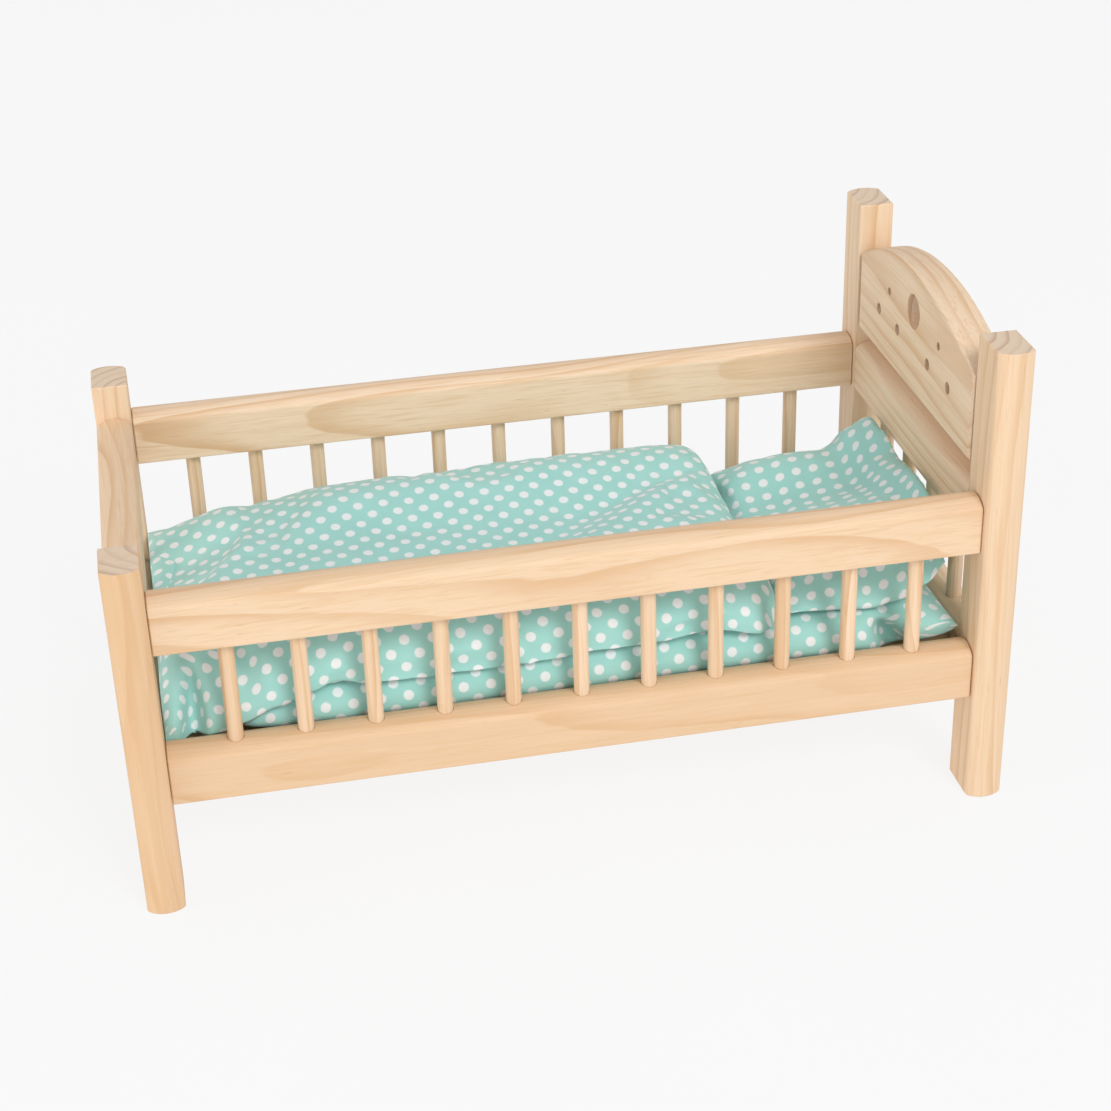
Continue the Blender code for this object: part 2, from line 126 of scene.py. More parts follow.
class Graph:
    """Short names for adding and joining shader nodes."""

    def __init__(self, tree):
        self.tree = tree

    def node(self, kind, **settings):
        made = self.tree.nodes.new(kind)
        for name, value in settings.items():
            setattr(made, name, value)
        return made

    def feed(self, socket, value):
        if isinstance(value, bpy.types.NodeSocket):
            self.tree.links.new(value, socket)
        else:
            socket.default_value = value

    def math(self, operation, first, second=0.0):
        made = self.node("ShaderNodeMath", operation=operation)
        self.feed(made.inputs[0], first)
        self.feed(made.inputs[1], second)
        return made.outputs[0]

    def vector(self, operation, first, second=(0.0, 0.0, 0.0), scale=1.0):
        made = self.node("ShaderNodeVectorMath", operation=operation)
        self.feed(made.inputs[0], first)
        if operation == "SCALE":
            self.feed(made.inputs["Scale"], scale)
        elif operation not in ("FRACTION", "LENGTH"):
            self.feed(made.inputs[1], second)
        return made.outputs["Value"] if operation in ("LENGTH", "DOT_PRODUCT") else made.outputs[0]

    def ramp(self, value, low, high, to_low=0.0, to_high=1.0):
        made = self.node("ShaderNodeMapRange", interpolation_type="SMOOTHSTEP")
        for name, item in zip(("Value", "From Min", "From Max", "To Min", "To Max"),
                              (value, low, high, to_low, to_high)):
            self.feed(made.inputs[name], item)
        return made.outputs[0]

    def noise(self, vector, scale=1.0, detail=2.0):
        made = self.node("ShaderNodeTexNoise")
        self.feed(made.inputs["Vector"], vector)
        self.feed(made.inputs["Scale"], scale)
        self.feed(made.inputs["Detail"], detail)
        return made.outputs["Fac"], made.outputs["Color"]

    def mix(self, factor, first, second):
        made = self.node("ShaderNodeMix", data_type="RGBA")
        self.feed(made.inputs["Factor"], factor)
        for name, value in (("A", first), ("B", second)):
            self.feed(made.inputs[name], (*value, 1.0) if isinstance(value, tuple) else value)
        return made.outputs["Result"]

    def bump(self, height, distance, strength):
        made = self.node("ShaderNodeBump")
        made.inputs["Strength"].default_value = strength
        made.inputs["Distance"].default_value = distance
        self.feed(made.inputs["Height"], height)
        return made.outputs[0]


def new_material(name):
    material = bpy.data.materials.new(name)
    material.use_nodes = True
    return material, Graph(material.node_tree), material.node_tree.nodes["Principled BSDF"]


# ---------------------------------------------------------------- pine

def centred(graph, colour, amount):
    """A noise's colour as a shift to both sides of nothing."""
    return graph.vector("SCALE", graph.vector("SUBTRACT", colour, (0.5, 0.5, 0.5)), scale=amount)


def add_rings(graph, grain):
    """Share of latewood, from 0 to 1: it rises slowly through each ring and ends sharply."""
    # The pith wanders along the board, and the rings are never quite round.
    drift = graph.noise(graph.vector("MULTIPLY", grain, (9.0, 9.0, 3.2)), 1.0, 1.0)[1]
    wave = graph.noise(graph.vector("MULTIPLY", grain, (70.0, 70.0, 12.0)), 1.0, 2.0)[1]
    moved = graph.vector("ADD", grain, centred(graph, drift, PITH_DRIFT))
    moved = graph.vector("ADD", moved, centred(graph, wave, RING_WAVE))
    radius = graph.vector("LENGTH", graph.vector("MULTIPLY", moved, (1.0, 1.0, 0.0)))
    ring = graph.math("DIVIDE", radius, RING_SPACING)
    share = graph.math("FRACT", ring)
    chance = graph.node("ShaderNodeTexWhiteNoise", noise_dimensions="1D")
    graph.feed(chance.inputs["W"], graph.math("FLOOR", ring))
    rise = graph.ramp(share, 0.25, 0.95)
    fall = graph.ramp(share, 0.95, 1.0, 1.0, 0.0)
    late = graph.math("MULTIPLY", graph.math("POWER", rise, 2.4), fall)
    return graph.math("MULTIPLY", late, graph.ramp(chance.outputs["Value"], 0.0, 1.0, 0.35, 1.0))


def add_face_colour(graph, grain, warmth_and_painted_light, late, fibre, streak):
    """Colour along the grain: earlywood and latewood, streaks, fine lines, fibres and canals."""
    line = graph.noise(graph.vector("MULTIPLY", grain, (620.0, 620.0, 9.0)), 1.0, 3.0)[0]
    cloud = graph.noise(graph.vector("MULTIPLY", grain, (30.0, 30.0, 7.0)), 1.0, 2.0)[0]
    canal = graph.noise(graph.vector("MULTIPLY", grain, (1100.0, 1100.0, 75.0)), 1.0, 0.0)[0]
    canal = graph.ramp(canal, 0.80, 0.86)
    amount = graph.math("MULTIPLY", late, graph.ramp(cloud, 0.32, 0.66, 0.40, 1.0))
    # the warmth is partly the board's own tone and partly painted light and shade, set by how light falls
    # on each board
    colour = graph.mix(warmth_and_painted_light, EARLYWOOD, WARM_AND_PAINTED_SHADE)
    colour = graph.mix(amount, colour, LATEWOOD)
    colour = graph.mix(graph.ramp(cloud, 0.40, 0.75, 0.0, 0.30), colour, ROSY)
    colour = graph.mix(graph.ramp(streak, 0.42, 0.72, 0.0, 0.36), colour, ROSY)
    colour = graph.mix(graph.ramp(line, 0.48, 0.68, 0.0, 0.42), colour, AMBER)
    colour = graph.mix(graph.ramp(fibre, 0.40, 0.75, 0.0, 0.24), colour, FIBRE)
    return graph.mix(graph.math("MULTIPLY", canal, 0.26), colour, RESIN)


def make_pine_group():
    """Grain of pine around a pith that lies along Z, in metres.

    Broad pale earlywood, narrow amber latewood, fine fibres and short resin canals.
    """
    tree = bpy.data.node_groups.new("pine_grain", "ShaderNodeTree")
    for name, kind in (("Grain", "NodeSocketVector"), ("End", "NodeSocketFloat"),
                       ("Warmth and painted light", "NodeSocketFloat")):
        tree.interface.new_socket(name, in_out="INPUT", socket_type=kind)
    for name, kind in (("Color", "NodeSocketColor"), ("Roughness", "NodeSocketFloat"),
                       ("Normal", "NodeSocketVector")):
        tree.interface.new_socket(name, in_out="OUTPUT", socket_type=kind)
    graph = Graph(tree)
    inputs = graph.node("NodeGroupInput")
    outputs = graph.node("NodeGroupOutput")
    grain, end = inputs.outputs["Grain"], inputs.outputs["End"]

    late = add_rings(graph, grain)
    fibre = graph.noise(graph.vector("MULTIPLY", grain, (1500.0, 1500.0, 26.0)), 1.0, 2.0)[0]
    streak = graph.noise(graph.vector("MULTIPLY", grain, (230.0, 230.0, 6.0)), 1.0, 3.0)[0]
    colour = add_face_colour(graph, grain, inputs.outputs["Warmth and painted light"], late, fibre, streak)
    ended = graph.mix(graph.math("MULTIPLY", late, 0.75), END_PALE, END_DARK)
    ended = graph.mix(graph.ramp(streak, 0.35, 0.75, 0.1, 0.5), ended, colour)
    graph.feed(outputs.inputs["Color"], graph.mix(end, colour, ended))

    rough = graph.math("ADD", graph.ramp(late, 0.0, 1.0, 0.56, 0.46), graph.math("MULTIPLY", end, 0.16))
    graph.feed(outputs.inputs["Roughness"], rough)
    height = graph.math("ADD", graph.math("MULTIPLY", fibre, 0.6), graph.math("MULTIPLY", late, 0.8))
    graph.feed(outputs.inputs["Normal"], graph.bump(height, 0.00010, 0.55))
    return tree


# Turns that bring the grain's direction onto Z.
LAY = {"X": (0.0, -math.pi / 2, 0.0), "Y": (math.pi / 2, 0.0, 0.0), "Z": (0.0, 0.0, 0.0)}
GRAIN_AXIS = {"X": (1.0, 0.0, 0.0), "Y": (0.0, 1.0, 0.0), "Z": (0.0, 0.0, 1.0)}


def make_pine(name, group, node, along, heart, tilt, shift, warmth_and_painted_light):
    """Pine for a board whose grain runs along an axis.

    heart is where the board's middle lies from the heart of the tree, across the grain; tilt
    leans the board against the tree, in radians; shift moves it along the tree; the last
    argument, from 0 to 1, makes its tone more amber and darker. It is partly the board's own tone
    and partly painted light and shade: low on boards that lie in shade, so that they are painted
    paler, and high on front boards in full light, so that they are painted darker.
    """
    material, graph, shader = new_material(name)
    place = graph.node("ShaderNodeTexCoord")
    lay = graph.node("ShaderNodeMapping", vector_type="POINT")
    lay.inputs["Rotation"].default_value = LAY[along]
    graph.feed(lay.inputs["Vector"], place.outputs["Object"])
    low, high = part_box(node)
    centre = (low + high) / 2
    centre.rotate(Euler(LAY[along]))
    centre.rotate(Euler((*tilt, 0.0)))
    lean = graph.node("ShaderNodeMapping", vector_type="POINT")
    lean.inputs["Location"].default_value = (heart[0] - centre.x, heart[1] - centre.y, shift)
    lean.inputs["Rotation"].default_value = (*tilt, 0.0)
    graph.feed(lean.inputs["Vector"], lay.outputs[0])
    facing = graph.vector("DOT_PRODUCT", place.outputs["Normal"], GRAIN_AXIS[along])
    end = graph.ramp(graph.math("ABSOLUTE", facing), 0.75, 0.95)
    wood = graph.node("ShaderNodeGroup", node_tree=group)
    graph.feed(wood.inputs["Grain"], lean.outputs[0])
    graph.feed(wood.inputs["End"], end)
    wood.inputs["Warmth and painted light"].default_value = warmth_and_painted_light
    graph.feed(shader.inputs["Base Color"], wood.outputs["Color"])
    graph.feed(shader.inputs["Roughness"], wood.outputs["Roughness"])
    graph.feed(shader.inputs["Normal"], wood.outputs["Normal"])
    shader.inputs["Specular IOR Level"].default_value = 0.35
    return material


def paint(node, material):
    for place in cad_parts[node].material_slots:
        place.material = material


# For each board: the grain's axis, the heart, the tilt, the shift and the warmth. The warmth is partly
# the board's own tone and partly painted light and shade: low on boards that lie in shade, so that
# they are painted paler, and high on front boards in full light, so that they are painted darker.
# Across the grain means (-z, y) for a board along X, (x, -z) for one along Y and (x, y) for one along Z.
BOARDS = {
    "foot_post_front": ("Z", (-0.030, -0.022), (0.016, 0.022), 0.2, 1.00),
    "foot_post_back": ("Z", (-0.026, 0.034), (0.020, -0.016), 0.9, 0.30),
    "head_post_front": ("Z", (0.032, -0.018), (-0.014, 0.024), 1.7, 0.43),
    "head_post_back": ("Z", (0.020, -0.030), (0.018, 0.020), 2.4, 0.20),
    "front_top_rail": ("X", (-0.016, -0.046), (0.050, 0.012), 3.1, 0.38),
    "front_lower_rail": ("X", (0.012, -0.038), (-0.036, 0.014), 4.3, 0.78),
    "back_top_rail": ("X", (0.010, 0.056), (0.040, -0.010), 5.6, 0.00),
    "back_lower_rail": ("X", (-0.012, 0.044), (0.032, 0.010), 6.2, 0.30),
    "foot_top_rail": ("Y", (-0.044, 0.008), (0.030, 0.030), 7.7, 0.35),
    "foot_lower_rail": ("Y", (-0.040, -0.010), (0.024, 0.020), 8.1, 0.30),
    "head_middle_rail": ("Y", (0.012, 0.060), (0.012, 0.016), 9.4, 0.10),
    "head_lower_rail": ("Y", (0.040, -0.012), (0.025, 0.020), 10.3, 0.20),
    "headboard_panel": ("Y", (0.072, 0.026), (0.010, 0.016), 12.9, 0.05),
}


def finish_wood():
    group = make_pine_group()
    for node, settings in BOARDS.items():
        paint(node, make_pine("pine_" + node, group, node, *settings))
    rods = sorted(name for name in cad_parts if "spindle" in name)
    for index, node in enumerate(rods):
        heart = (0.020 + 0.011 * (index * 5 % 7), 0.013 * (index * 3 % 5) - 0.02)
        tilt = (0.02, 0.01 * (index % 3))
        # painted light: the back spindles, in the shade of the rails, are painted paler; the front ones
        # differ in tone from spindle to spindle
        warmth_and_painted_light = 0.12 + 0.13 * (index % 4) if node.startswith("front") else 0.04 * (index % 3)
        paint(node, make_pine("pine_" + node, group, node, "Z", heart, tilt, index, warmth_and_painted_light))


# ---------------------------------------------------------------- dowels, screws and base board

def make_beech():
    beech, graph, shader = new_material("beech_dowel")
    place = graph.node("ShaderNodeTexCoord").outputs["Object"]
    flecks = graph.noise(graph.vector("MULTIPLY", place, (1400.0, 90.0, 1400.0)), 1.0, 2.0)[0]
    graph.feed(shader.inputs["Base Color"], graph.mix(flecks, BEECH_DARK, BEECH_LIGHT))
    graph.feed(shader.inputs["Normal"], graph.bump(flecks, 0.0001, 0.5))
    shader.inputs["Roughness"].default_value = 0.6
    return beech


def make_zinc():
    zinc, graph, shader = new_material("zinc_plated_screw")
    place = graph.node("ShaderNodeTexCoord").outputs["Object"]
    smear = graph.noise(place, 900.0, 3.0)[0]
    graph.feed(shader.inputs["Base Color"], graph.mix(smear, ZINC_DARK, ZINC_LIGHT))
    graph.feed(shader.inputs["Roughness"], graph.ramp(smear, 0.2, 0.8, 0.24, 0.42))
    shader.inputs["Metallic"].default_value = 1.0
    return zinc


def finish_hardware():
    beech = make_beech()
    zinc = make_zinc()
    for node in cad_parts:
        if "dowel" in node:
            paint(node, beech)
        if "screw" in node:
            paint(node, zinc)


def finish_base_board():
    """Plywood: a figured face veneer and three thin layers at its edges."""
    low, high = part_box("base_board")
    material, graph, shader = new_material("plywood")
    place = graph.node("ShaderNodeTexCoord")
    point = place.outputs["Object"]
    figure = graph.noise(graph.vector("MULTIPLY", point, (9.0, 90.0, 9.0)), 1.0, 4.0)[0]
    fibre = graph.noise(graph.vector("MULTIPLY", point, (60.0, 1500.0, 400.0)), 1.0, 2.0)[0]
    face = graph.mix(graph.ramp(figure, 0.35, 0.65), PLY_LIGHT, PLY_FIGURE)
    face = graph.mix(graph.ramp(fibre, 0.4, 0.8, 0.0, 0.25), face, PLY_DARK)
    split = graph.node("ShaderNodeSeparateXYZ")
    graph.feed(split.inputs[0], point)
    level = graph.math("DIVIDE", graph.math("SUBTRACT", split.outputs["Z"], low.z), high.z - low.z)
    off_middle = graph.math("ABSOLUTE", graph.math("SUBTRACT", level, 0.5))
    core = graph.math("LESS_THAN", off_middle, PLY_CORE_SHARE)
    layers = graph.mix(core, PLY_LIGHT, PLY_DARK)
    turn = graph.node("ShaderNodeSeparateXYZ")
    graph.feed(turn.inputs[0], place.outputs["Normal"])
    flat = graph.math("GREATER_THAN", graph.math("ABSOLUTE", turn.outputs["Z"]), 0.7)
    graph.feed(shader.inputs["Base Color"], graph.mix(flat, layers, face))
    graph.feed(shader.inputs["Normal"], graph.bump(fibre, 0.0001, 0.5))
    shader.inputs["Roughness"].default_value = 0.62
    paint("base_board", material)


# ---------------------------------------------------------------- dotted cotton

def add_dots(graph, cloth):
    """1 on the dots and 0 between them: a square grid laid at 45 degrees, never quite even."""
    wobble = graph.noise(cloth, 400.0, 1.0)[1]
    turned = graph.node("ShaderNodeMapping", vector_type="POINT")
    turned.inputs["Rotation"].default_value = (0.0, 0.0, math.pi / 4)
    graph.feed(turned.inputs["Vector"], graph.vector("ADD", cloth, centred(graph, wobble, DOT_WOBBLE)))
    cell = graph.vector("SCALE", turned.outputs[0], scale=1 / DOT_PITCH)
    inside = graph.vector("SUBTRACT", graph.vector("FRACTION", cell), (0.5, 0.5, 0.5))
    away = graph.vector("LENGTH", graph.vector("MULTIPLY", inside, (1.0, 1.0, 0.0)))
    edge = DOT_RADIUS / DOT_PITCH
    return graph.ramp(away, edge - DOT_SOFTNESS, edge + DOT_SOFTNESS, 1.0, 0.0)


def add_weave(graph, cloth):
    """Height of the crossing threads."""
    warp = graph.node("ShaderNodeTexWave", bands_direction="X")
    weft = graph.node("ShaderNodeTexWave", bands_direction="Y")
    for threads in (warp, weft):
        graph.feed(threads.inputs["Vector"], cloth)
        threads.inputs["Scale"].default_value = THREAD_SCALE
        threads.inputs["Distortion"].default_value = 0.6
    return graph.math("MULTIPLY", warp.outputs["Fac"], weft.outputs["Fac"])


def make_cotton():
    """Plain-weave cotton, mint, printed with white dots."""
    material, graph, shader = new_material("dotted_cotton")
    cloth = graph.node("ShaderNodeUVMap", uv_map="cloth").outputs[0]
    dot = add_dots(graph, cloth)
    slub = graph.noise(graph.vector("MULTIPLY", cloth, (300.0, 2400.0, 1.0)), 1.0, 2.0)[0]
    fade = graph.noise(cloth, 26.0, 2.0)[0]

    ground = graph.mix(graph.ramp(fade, 0.3, 0.7, 0.0, 0.4), MINT, MINT_DEEP)
    ground = graph.mix(graph.ramp(slub, 0.45, 0.8, 0.0, 0.22), ground, MINT_PALE)
    white = graph.mix(graph.ramp(slub, 0.4, 0.8, 0.0, 0.35), DOT_WHITE, DOT_THIN)
    graph.feed(shader.inputs["Base Color"], graph.mix(dot, ground, white))
    graph.feed(shader.inputs["Roughness"], graph.ramp(dot, 0.0, 1.0, 0.88, 0.80))
    threads = graph.math("MULTIPLY", add_weave(graph, cloth), 0.7)
    height = graph.math("ADD", threads, graph.math("MULTIPLY", slub, 0.5))
    graph.feed(shader.inputs["Normal"], graph.bump(height, 0.00016, 0.5))
    shader.inputs["Specular IOR Level"].default_value = 0.2
    shader.inputs["Sheen Weight"].default_value = 0.25
    shader.inputs["Sheen Roughness"].default_value = 0.5
    return material


# ---------------------------------------------------------------- padded pieces

PUFF_FRAMES = 18
CLOTH_QUALITY = 6
CLOTH_MASS = 0.15
CLOTH_TENSION = 20.0
CLOTH_SHEAR = 8.0
CLOTH_BENDING = 0.25


def through(points, x):
    """Smooth height through (place, height) points, level beyond the first and the last."""
    if x <= points[0][0]:
        return points[0][1]
    for (x0, y0), (x1, y1) in zip(points, points[1:]):
        if x <= x1:
            return y0 + (y1 - y0) * smooth(x0, x1, x)
    return points[-1][1]


def dome(t, power, root=2.0):
    """Fullness of a stuffed edge: 0 at -1 and 1, and full between."""
    return max(0.0, 1 - abs(t) ** power) ** (1 / root)


def spread(profile, steps):
    """Places from -1 to 1 that divide the curve of a profile into equal lengths."""
    fine = 400
    places = [-1 + 2 * index / fine for index in range(fine + 1)]
    lengths = [0.0]
    for first, second in zip(places, places[1:]):
        lengths.append(lengths[-1] + math.hypot(second - first, profile(second) - profile(first)))
    chosen = []
    index = 0
    for step in range(steps + 1):
        wanted = lengths[-1] * step / steps
        while index < fine - 1 and lengths[index + 1] < wanted:
            index += 1
        part = (wanted - lengths[index]) / (lengths[index + 1] - lengths[index])
        chosen.append(places[index] + (places[index + 1] - places[index]) * clamp(part))
    return chosen


def along_rows(rows):
    """Lengths along each row of points, counted from the row's middle."""
    measured = []
    for row in rows:
        lengths = [0.0]
        for first, second in zip(row, row[1:]):
            lengths.append(lengths[-1] + (second - first).length)
        middle = lengths[len(lengths) // 2]
        measured.append([length - middle for length in lengths])
    return measured


def unroll(upper, under, turn, shift):
    """Two functions that give a point's cloth coordinates on the upper and on the under sheet.

    The cover is unrolled round its long sides, so that the print runs on over the front and back
    edges; turn lays the print askew and shift moves it along the pad.
    """
    t_top, t_low = along_rows(upper), along_rows(under)
    s_top = list(zip(*along_rows(list(zip(*upper)))))
    s_low = list(zip(*along_rows(list(zip(*under)))))
    last = len(upper[0]) - 1
    cosine, sine = math.cos(turn), math.sin(turn)

    def turned(s, t):
        return s * cosine - t * sine + shift, s * sine + t * cosine

    def place_top(i, j):
        return turned(s_top[i][j], t_top[i][j])

    def place_low(i, j):
        if j <= last // 2:
            return turned(s_low[i][j], t_top[i][0] - (t_low[i][j] - t_low[i][0]))
        return turned(s_low[i][j], t_top[i][last] + (t_low[i][last] - t_low[i][j]))

    return place_top, place_low


def add_sheet(form, verts, place, flip):
    """Faces between rows of points, with their cloth coordinates."""
    layer = form.loops.layers.uv["cloth"]
    for i in range(len(verts) - 1):
        for j in range(len(verts[0]) - 1):
            ring = [(i, j), (i + 1, j), (i + 1, j + 1), (i, j + 1)]
            if flip:
                ring.reverse()
            face = form.faces.new([verts[a][b] for a, b in ring])
            face.smooth = True
            for loop, (a, b) in zip(face.loops, ring):
                loop[layer].uv = place(a, b)


def make_pad(name, surface, across, along, print_turn, print_shift):
    """Closed pad of two sheets sewn at their rim.

    surface(u, v, side) gives a point of the upper (side 1) or the under sheet (side -1), and both
    agree where u or v is -1 or 1.  The points of the upper sheet and the rim come first, and their
    number is returned with the piece.
    """
    form = bmesh.new()
    form.loops.layers.uv.new("cloth")
    upper = [[surface(u, v, 1) for v in across] for u in along]
    under = [[surface(u, v, -1) for v in across] for u in along]
    last_row, last = len(along) - 1, len(across) - 1

    def is_rim(i, j):
        return i in (0, last_row) or j in (0, last)

    top_verts = [[form.verts.new(point) for point in row] for row in upper]
    low_verts = [
        [top_verts[i][j] if is_rim(i, j) else form.verts.new(point) for j, point in enumerate(row)]
        for i, row in enumerate(under)]
    place_top, place_low = unroll(upper, under, print_turn, print_shift)
    add_sheet(form, top_verts, place_top, False)
    add_sheet(form, low_verts, place_low, True)
    mesh = bpy.data.meshes.new(name)
    form.to_mesh(mesh)
    form.free()
    piece = bpy.data.objects.new(name, mesh)
    bpy.context.scene.collection.objects.link(piece)
    return piece, len(along) * len(across)


def inflate(piece, pressure, grow):
    """Places of a cover's points after a short cloth simulation with pressure inside it."""
    cloth = piece.modifiers.new("cloth", "CLOTH")
    settings = cloth.settings
    settings.quality = CLOTH_QUALITY
    settings.mass = CLOTH_MASS
    settings.tension_stiffness = CLOTH_TENSION
    settings.compression_stiffness = CLOTH_TENSION
    settings.shear_stiffness = CLOTH_SHEAR
    settings.bending_stiffness = CLOTH_BENDING
    settings.use_pressure = True
    settings.uniform_pressure_force = pressure
    settings.shrink_min = -grow
    settings.effector_weights.gravity = 0.0
    cloth.collision_settings.use_collision = False
    cloth.point_cache.frame_start = 1
    cloth.point_cache.frame_end = PUFF_FRAMES
    scene = bpy.context.scene
    for number in range(1, PUFF_FRAMES + 1):
        scene.frame_set(number)
    shown = piece.evaluated_get(bpy.context.evaluated_depsgraph_get())
    places = [vertex.co.copy() for vertex in shown.data.vertices]
    piece.modifiers.remove(cloth)
    scene.frame_set(1)
    return places


def puff(piece, upper_count, pressure, cap, grow):
    """Inflate a pad's cover, and keep each point within a cap of its place.

    No point leaves the bed's inside, and the under sheet stops a little further from its walls.
    """
    before = [vertex.co.copy() for vertex in piece.data.vertices]
    after = inflate(piece, pressure, grow)
    for index, (vertex, old, new) in enumerate(zip(piece.data.vertices, before, after)):
        step = new - old
        if step.length > cap:
            step *= cap / step.length
        place = old + step
        gap = WALL_GAP if index < upper_count else WALL_GAP + SHEET_GAP
        place.x = clamp(place.x, gap - END_INNER, END_INNER - gap)
        place.y = clamp(place.y, gap - RAIL_INNER, RAIL_INNER - gap)
        place.z = max(place.z, BOARD_TOP + WALL_GAP)
        vertex.co = place


def settle(piece, upper_count, support):
    """Lift the points of a pad that its filling pressed into the pad it lies on.

    The upper sheet keeps a little more height above that pad than the under sheet does. Nothing
    else holds the two apart, and along the rim of the duvet's foot end they still cross.
    """
    tree = BVHTree.FromObject(support, bpy.context.evaluated_depsgraph_get())
    for index, vertex in enumerate(piece.data.vertices):
        above = Vector((vertex.co.x, vertex.co.y, 1.0))
        hit = tree.ray_cast(above, Vector((0.0, 0.0, -1.0)))[0]
        if hit is not None:
            gap = REST_GAP + SHEET_GAP if index < upper_count else REST_GAP
            vertex.co.z = max(vertex.co.z, hit.z + gap)


def finish_pad(piece, node, body, cotton):
    """The pad's cloth and smoothing, and its place among the bed's pieces."""
    piece.data.materials.append(cotton)
    subdivision = piece.modifiers.new("smooth", "SUBSURF")
    subdivision.levels = 1
    subdivision.render_levels = 1
    subdivision.uv_smooth = "PRESERVE_BOUNDARIES"
    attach(piece, body)
    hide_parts(node)


def pucker(place, amount, scale=95.0):
    """Small gathers that run along a seam."""
    return amount * noise.noise(Vector((place * scale, 3.7, 1.3)))


def crinkle(x, y, amount):
    """Soft creases that wander across the cloth, with finer ones between them."""
    broad = abs(noise.noise(Vector((x * 38 + y * 14, y * 20 - x * 9, 5.2))))
    fine = abs(noise.noise(Vector((x * 84 + y * 30, y * 48 - x * 20, 8.1))))
    return amount * (0.3 - broad) + 0.45 * amount * (0.3 - fine)


# ---------------------------------------------------------------- mattress

MATTRESS_HALF_WIDTH = 0.1140
MATTRESS_NARROW = 0.020
MATTRESS_SEAM = 0.1050
EAR_REACH = 0.005
EAR_RISE = 0.0060
TUCK_PLACE = 0.2000
TUCK_DEPTH = 0.022
MATTRESS_PRINT_SHIFT = 0.0100
# Gap between the mattress and the under sheet of a pad on it, before the filling presses down.
LYING_GAP = 0.0022


def mattress_half_width(x, v):
    """Its front is drawn in at the foot end, where the duvet hangs over its side."""
    narrow = 0.15 * smooth(0.175, 0.195, -x) + 0.85 * smooth(0.195, 0.215, -x)
    return MATTRESS_HALF_WIDTH - MATTRESS_NARROW * narrow * smooth(0.0, -0.6, v)


def mattress_seam(x):
    """Height of the rim, which rises to the ears at the head end."""
    return MATTRESS_SEAM + EAR_RISE * smooth(0.185, 0.230, x)


def mattress_fullness(u, v):
    """Share of its full thickness; it tapers off at the foot end."""
    return dome(u, 10.0 if u > 0 else 3.0, 2.2) * dome(v, 9.0, 2.0)


def mattress_top(x, y):
    """Height of the mattress's upper sheet."""
    middle = mattress_seam(x)
    u = clamp(x / MATTRESS_HIGH.x, -1, 1)
    v = clamp(y / mattress_half_width(x, y / MATTRESS_HALF_WIDTH), -1, 1)
    return middle + mattress_fullness(u, v) * (MATTRESS_HIGH.z - middle)


def mattress_surface(u, v, side):
    """Thick pad that fills the bed; its corners at the head end run out into pointed ears."""
    corner = max(u, 0.0) ** 14 * abs(v) ** 14
    x = u * (MATTRESS_HIGH.x - 0.003 * (1 - abs(v) ** 6))
    half_width = mattress_half_width(x, v) - 0.0004 * (1 - abs(u) ** 8)
    y = v * half_width + math.copysign(EAR_REACH, v) * corner
    middle = mattress_seam(x)
    reach = MATTRESS_HIGH.z - middle if side > 0 else MATTRESS_LOW.z - middle
    z = middle + mattress_fullness(u, v) * reach
    seam = (1 - abs(v)) * MATTRESS_HIGH.y
    z += pucker(x, 0.0012, 60.0) * (1 - smooth(0.0, 0.02, seam))

    # a slanting tuck in the front side, next to the head corner
    slant = bump(x, TUCK_PLACE + 0.5 * (0.1105 - z), 0.013)
    tuck = slant * smooth(-0.078, -0.104, y) * bump(z, 0.1075, 0.014)
    y += TUCK_DEPTH * tuck
    return Vector((x, y, z))


def make_mattress(cotton):
    across = spread(lambda t: 0.15 * dome(t, 9.0, 2.0), 52)
    along = spread(lambda t: 0.07 * dome(t, 10.0 if t > 0 else 3.6, 2.2), 100)
    piece, upper_count = make_pad(
        "mattress_pad", mattress_surface, across, along, 0.0, MATTRESS_PRINT_SHIFT)
    puff(piece, upper_count, pressure=1.5, cap=0.0008, grow=0.02)
    finish_pad(piece, "mattress", "mattress", cotton)
    return piece


# ---------------------------------------------------------------- duvet

DUVET_FOOT = -0.2464
DUVET_HEAD = 0.1322
DUVET_HALF_WIDTH = 0.1135
DUVET_RIM = 0.1265
DUVET_UNDERSIDE = 0.1268
DUVET_PRINT_SHIFT = 0.0080
VALLEY_HEIGHT = 0.1465
SIDE_FILLING = 0.0140
CORNER_FILLING = 0.0125
DEEP_FOLD = 0.0220
SLIGHT_FOLD = 0.0100
WRINKLE = 0.0040
# Height of the front rim along the duvet, from where it hangs at the foot end.
FRONT_RIM = (
    (-0.228, 0.0955), (-0.213, 0.0980), (-0.200, 0.1030), (-0.176, 0.1125), (-0.158, 0.1195),
    (-0.1395, 0.1262), (-0.126, 0.1230), (-0.094, 0.1215), (0.050, 0.1228), (0.090, 0.1262),
    (0.114, 0.1200), (0.128, 0.1210))


